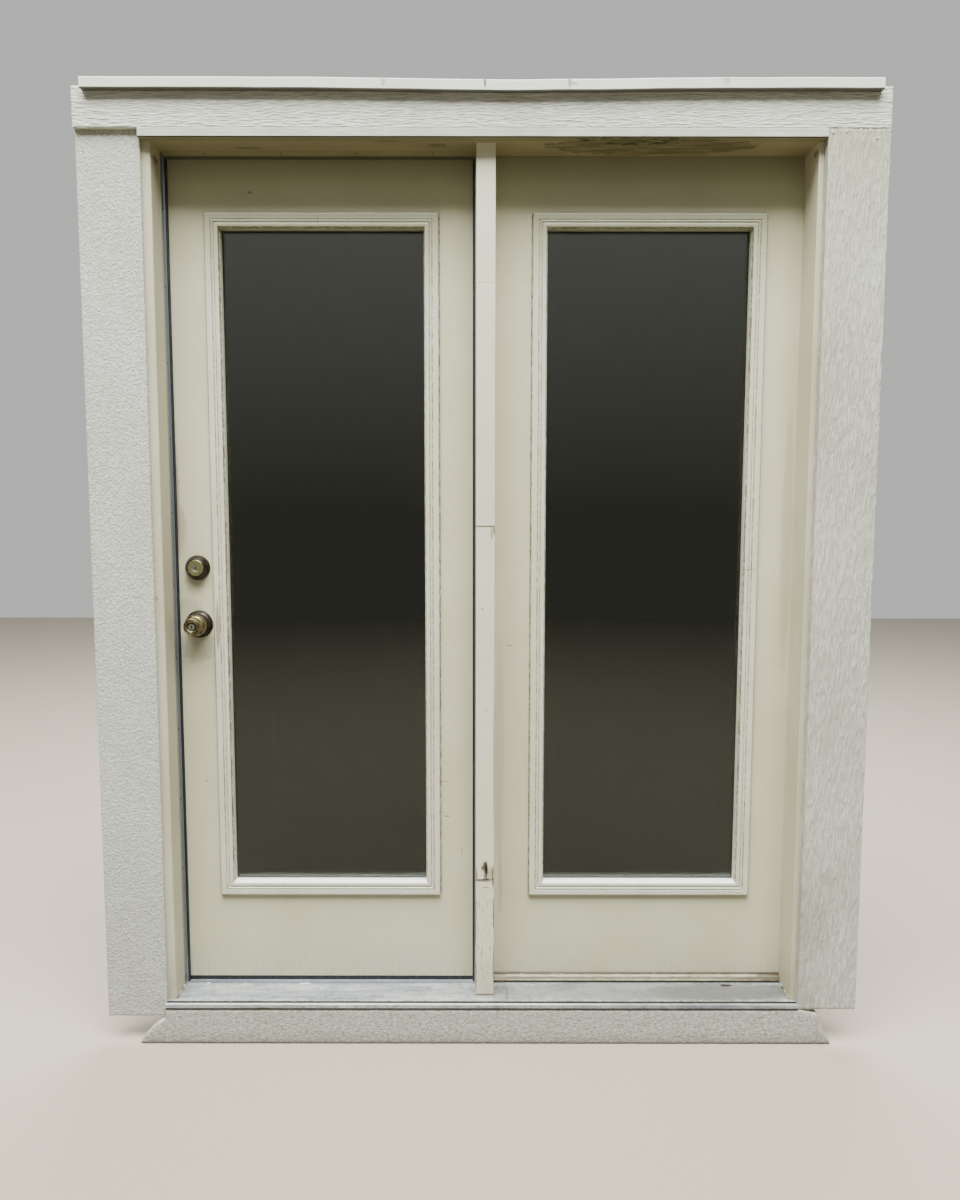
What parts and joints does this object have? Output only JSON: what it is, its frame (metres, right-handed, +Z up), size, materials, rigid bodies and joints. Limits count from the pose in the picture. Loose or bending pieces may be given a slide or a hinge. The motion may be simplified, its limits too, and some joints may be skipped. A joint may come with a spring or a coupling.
{
  "type": "french doors",
  "caption": "Centre-hinged patio doors in a wooden frame: a glazed inswing leaf with knob and deadbolt, and a glazed fixed panel.",
  "frame": {"origin": "middle of the mullion, at the slabs' outside face, on the frame's underside", "axes": "+Z up, +X to the right seen from outside, +Y into the house"},
  "size_m": [1.8309, 0.2555, 2.2604],
  "materials": {
    "frame_paint": "cream exterior paint on pine",
    "casing_paint": "pale grey-cream textured exterior paint",
    "bare_wood": "treated, unpainted",
    "slab_paint": "cream exterior paint",
    "lite_frame": "moulded, painted cream",
    "glass": "insulated, lightly tinted",
    "aluminium": "mill finish",
    "sill_paint": "weathered cream paint",
    "vinyl": "soft black vinyl",
    "caulk": "painted caulk",
    "brass": "aged",
    "dark_bronze": "dark oxidised",
    "steel": "satin"
  },
  "bodies": {
    "frame": {"head_jamb": "frame_paint", "left_jamb": "frame_paint", "right_jamb": "frame_paint", "mullion_post": "frame_paint", "mullion_face_upper": "frame_paint", "mullion_face_lower": "frame_paint", "mullion_face_foot": "frame_paint", "sill_deck": "sill_paint", "sill_core": "bare_wood", "sill_apron": "casing_paint", "left_casing": "casing_paint", "right_casing": "casing_paint", "head_casing": "casing_paint", "head_strip": "casing_paint", "drip_cap": "casing_paint", "weatherstrip_left": "aluminium", "weatherstrip_head": "aluminium", "weatherstrip_mullion": "aluminium", "weatherstrip_bulbs": "vinyl", "latch_strike": "brass", "deadbolt_strike": "brass", "hinge_frame_leaves": "brass", "hinge_pins": "brass", "fixed_slab": "slab_paint", "fixed_lite_frame_outer": "lite_frame", "fixed_lite_frame_inner": "lite_frame", "fixed_pane_outer": "glass", "fixed_pane_inner": "glass", "fixed_glass_spacer": "aluminium", "fixed_bottom_bead": "caulk"},
    "leaf": {"leaf_slab": "slab_paint", "leaf_lite_frame_outer": "lite_frame", "leaf_lite_frame_inner": "lite_frame", "leaf_pane_outer": "glass", "leaf_pane_inner": "glass", "leaf_glass_spacer": "aluminium", "leaf_sweep": "vinyl", "hinge_door_leaves": "brass", "knob_rose_outside": "dark_bronze", "knob_rose_inside": "dark_bronze", "latch_case": "brass", "deadbolt_collar": "dark_bronze", "deadbolt_cylinder": "brass", "deadbolt_case": "brass", "deadbolt_inner_plate": "brass"},
    "knob": {"outside_knob": "brass", "inside_knob": "brass"},
    "latch": {"latch_bolt": "steel"},
    "deadbolt": {"deadbolt_bolt": "steel"},
    "thumbturn": {"thumbturn": "brass"},
    "deadbolt_plug": {"deadbolt_plug": "steel"},
    "knob_plug": {"knob_plug": "steel"},
    "lock_button": {"lock_button": "brass"}
  },
  "joints": [
    {"name": "leaf_hinge", "type": "hinge", "parent": "frame", "child": "leaf", "pos_m": [-0.0111, 0.0507, 1], "axis": [0, 0, -1], "range_deg": [0, 165]},
    {"name": "knob_turn", "type": "hinge", "parent": "leaf", "child": "knob", "pos_m": [-0.7074, 0, 0.9585], "axis": [0, 1, 0], "range_deg": [0, 60]},
    {"name": "latch_slide", "type": "slide", "parent": "leaf", "child": "latch", "axis": [-1, 0, 0], "range_m": [0, 0.012]},
    {"name": "thumbturn_turn", "type": "hinge", "parent": "leaf", "child": "thumbturn", "pos_m": [-0.7074, 0, 1.0982], "axis": [0, 1, 0], "range_deg": [0, 90]},
    {"name": "deadbolt_plug_turn", "type": "hinge", "parent": "leaf", "child": "deadbolt_plug", "pos_m": [-0.7074, 0, 1.0982], "axis": [0, 1, 0], "range_deg": [0, 90]},
    {"name": "deadbolt_slide", "type": "slide", "parent": "leaf", "child": "deadbolt", "axis": [-1, 0, 0], "range_m": [0, 0.0254]},
    {"name": "lock_button_turn", "type": "hinge", "parent": "knob", "child": "lock_button", "pos_m": [-0.7074, 0, 0.9585], "axis": [0, 1, 0], "range_deg": [0, 90]},
    {"name": "knob_plug_turn", "type": "hinge", "parent": "knob", "child": "knob_plug", "pos_m": [-0.7074, 0, 0.9585], "axis": [0, 1, 0], "range_deg": [0, 90]}
  ],
  "couplings": [
    {"joint": "latch_slide", "follows": "knob_turn", "m_per_rad": 0.011459},
    {"joint": "deadbolt_slide", "follows": "thumbturn_turn", "m_per_rad": 0.01617},
    {"joint": "deadbolt_plug_turn", "follows": "thumbturn_turn", "ratio": 1},
    {"joint": "knob_plug_turn", "follows": "lock_button_turn", "ratio": 1}
  ]
}
